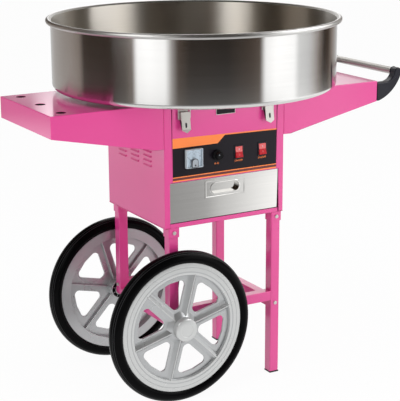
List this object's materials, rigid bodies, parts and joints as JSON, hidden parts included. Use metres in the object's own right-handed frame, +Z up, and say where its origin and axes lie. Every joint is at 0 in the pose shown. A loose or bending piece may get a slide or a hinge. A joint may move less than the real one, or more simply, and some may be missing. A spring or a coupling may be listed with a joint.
{
  "type": "cotton candy cart",
  "caption": "Cotton candy cart: wide steel catch bowl round a spinner head, on a pink cabinet with controls, drawer, side shelves, push handle and a wheeled stand.",
  "frame": {"origin": "on the floor, at the middle of the overall length and depth", "axes": "+X from the wheels towards the push handle, +Y from the control panel towards the back, +Z up"},
  "size_m": [0.9804, 0.72, 0.912],
  "materials": {
    "pink_paint": "glossy powder coat",
    "stainless": "fine brushed",
    "bright_steel": "bright zinc or nickel plate",
    "wheel_plastic": "satin silver-grey moulding",
    "tyre_rubber": "smooth black rubber",
    "meter_case": "pale moulding with a printed scale card",
    "black_plastic": "fine satin",
    "red_plastic": "translucent gloss",
    "meter_window": "clear",
    "pointer_paint": "black enamel",
    "seat_rubber": "matt",
    "housing_iron": "painted casting",
    "pulley_aluminium": "turned",
    "ring_copper": "turned copper alloy on an insulating sleeve",
    "heater_alloy": "heat-tinted ribbon",
    "motor_paint": "satin grey"
  },
  "bodies": {
    "cart": {"long_legs": "pink_paint", "short_legs": "pink_paint", "cross_rails": "pink_paint", "side_rails": "pink_paint", "leg_sockets": "pink_paint", "cabinet_shell": "pink_paint", "base_plate": "pink_paint", "top_plate": "pink_paint", "front_panel": "pink_paint", "left_shelf": "pink_paint", "right_shelf": "pink_paint", "bowl": "stainless", "handle_bar": "stainless", "frame_hardware": "bright_steel", "axle": "bright_steel", "latch_bases": "bright_steel", "drawer_runners": "bright_steel", "spindle_bearings": "bright_steel", "voltmeter_body": "meter_case", "foot_caps": "black_plastic", "handle_brackets": "black_plastic", "heat_control": "black_plastic", "switch_housings": "black_plastic", "cable_gland": "black_plastic", "brush_holder": "black_plastic", "voltmeter_lens": "meter_window", "bowl_gasket": "seat_rubber", "drive_belt": "seat_rubber", "spindle_housing": "housing_iron", "motor": "motor_paint"},
    "front_wheel": {"front_wheel": "wheel_plastic", "front_tyre": "tyre_rubber", "front_hub_cap": "wheel_plastic"},
    "back_wheel": {"back_wheel": "wheel_plastic", "back_tyre": "tyre_rubber", "back_hub_cap": "wheel_plastic"},
    "drawer": {"drawer_front": "stainless", "drawer_tray": "stainless", "drawer_pull": "stainless"},
    "knob": {"heat_knob": "black_plastic"},
    "rocker_motor": {"motor_rocker": "red_plastic"},
    "rocker_heat": {"heat_rocker": "red_plastic"},
    "needle": {"voltmeter_needle": "pointer_paint"},
    "spinner": {"spinner_pan": "stainless", "spinner_mesh": "stainless", "spinner_cover": "stainless", "heating_element": "heater_alloy", "spindle": "bright_steel", "spindle_pulley": "pulley_aluminium", "slip_rings": "ring_copper"},
    "motor_rotor": {"motor_shaft": "bright_steel", "motor_pulley": "pulley_aluminium"},
    "lever_fl": {"latch_lever_fl": "bright_steel"},
    "bail_fl": {"latch_bail_fl": "bright_steel"},
    "lever_fr": {"latch_lever_fr": "bright_steel"},
    "bail_fr": {"latch_bail_fr": "bright_steel"},
    "lever_bl": {"latch_lever_bl": "bright_steel"},
    "bail_bl": {"latch_bail_bl": "bright_steel"},
    "lever_br": {"latch_lever_br": "bright_steel"},
    "bail_br": {"latch_bail_br": "bright_steel"}
  },
  "joints": [
    {"name": "front_wheel_spin", "type": "hinge", "parent": "cart", "child": "front_wheel", "pos_m": [-0.18125, 0, 0.19], "axis": [0, 1, 0], "continuous": true},
    {"name": "back_wheel_spin", "type": "hinge", "parent": "cart", "child": "back_wheel", "pos_m": [-0.18125, 0, 0.19], "axis": [0, 1, 0], "continuous": true},
    {"name": "drawer_slide", "type": "slide", "parent": "cart", "child": "drawer", "axis": [0, -1, 0], "range_m": [0, 0.2]},
    {"name": "knob_turn", "type": "hinge", "parent": "cart", "child": "knob", "pos_m": [-0.06425, -0.15, 0.596], "axis": [0, 1, 0], "range_deg": [0, 270]},
    {"name": "motor_switch", "type": "hinge", "parent": "cart", "child": "rocker_motor", "pos_m": [-0.00225, -0.15, 0.596], "axis": [1, 0, 0], "range_deg": [0, 20]},
    {"name": "heat_switch", "type": "hinge", "parent": "cart", "child": "rocker_heat", "pos_m": [0.06475, -0.15, 0.596], "axis": [1, 0, 0], "range_deg": [0, 20]},
    {"name": "needle_swing", "type": "hinge", "parent": "cart", "child": "needle", "pos_m": [-0.12875, -0.155, 0.58295], "axis": [0, 1, 0], "range_deg": [0, 90]},
    {"name": "spinner_spin", "type": "hinge", "parent": "cart", "child": "spinner", "pos_m": [-0.03925, 0, 0.7], "axis": [0, 0, 1], "continuous": true},
    {"name": "motor_spin", "type": "hinge", "parent": "cart", "child": "motor_rotor", "pos_m": [0.04575, 0.045, 0.69], "axis": [0, 0, 1], "continuous": true},
    {"name": "lever_fl_swing", "type": "hinge", "parent": "cart", "child": "lever_fl", "pos_m": [-0.15525, -0.157, 0.705], "axis": [-1, 0, 0], "range_deg": [0, 70]},
    {"name": "bail_fl_swing", "type": "hinge", "parent": "lever_fl", "child": "bail_fl", "pos_m": [-0.15525, -0.15561, 0.6951], "axis": [-1, 0, 0], "range_deg": [-55, 0]},
    {"name": "lever_fr_swing", "type": "hinge", "parent": "cart", "child": "lever_fr", "pos_m": [0.07675, -0.157, 0.705], "axis": [-1, 0, 0], "range_deg": [0, 70]},
    {"name": "bail_fr_swing", "type": "hinge", "parent": "lever_fr", "child": "bail_fr", "pos_m": [0.07675, -0.15561, 0.6951], "axis": [-1, 0, 0], "range_deg": [-55, 0]},
    {"name": "lever_bl_swing", "type": "hinge", "parent": "cart", "child": "lever_bl", "pos_m": [-0.15525, 0.157, 0.705], "axis": [1, 0, 0], "range_deg": [0, 70]},
    {"name": "bail_bl_swing", "type": "hinge", "parent": "lever_bl", "child": "bail_bl", "pos_m": [-0.15525, 0.15561, 0.6951], "axis": [1, 0, 0], "range_deg": [-55, 0]},
    {"name": "lever_br_swing", "type": "hinge", "parent": "cart", "child": "lever_br", "pos_m": [0.07675, 0.157, 0.705], "axis": [1, 0, 0], "range_deg": [0, 70]},
    {"name": "bail_br_swing", "type": "hinge", "parent": "lever_br", "child": "bail_br", "pos_m": [0.07675, 0.15561, 0.6951], "axis": [1, 0, 0], "range_deg": [-55, 0]}
  ],
  "couplings": [
    {"joint": "motor_spin", "follows": "spinner_spin", "ratio": 1.75},
    {"joint": "bail_fl_swing", "follows": "lever_fl_swing", "ratio": -0.69138},
    {"joint": "bail_fr_swing", "follows": "lever_fr_swing", "ratio": -0.69138},
    {"joint": "bail_bl_swing", "follows": "lever_bl_swing", "ratio": -0.69138},
    {"joint": "bail_br_swing", "follows": "lever_br_swing", "ratio": -0.69138}
  ]
}
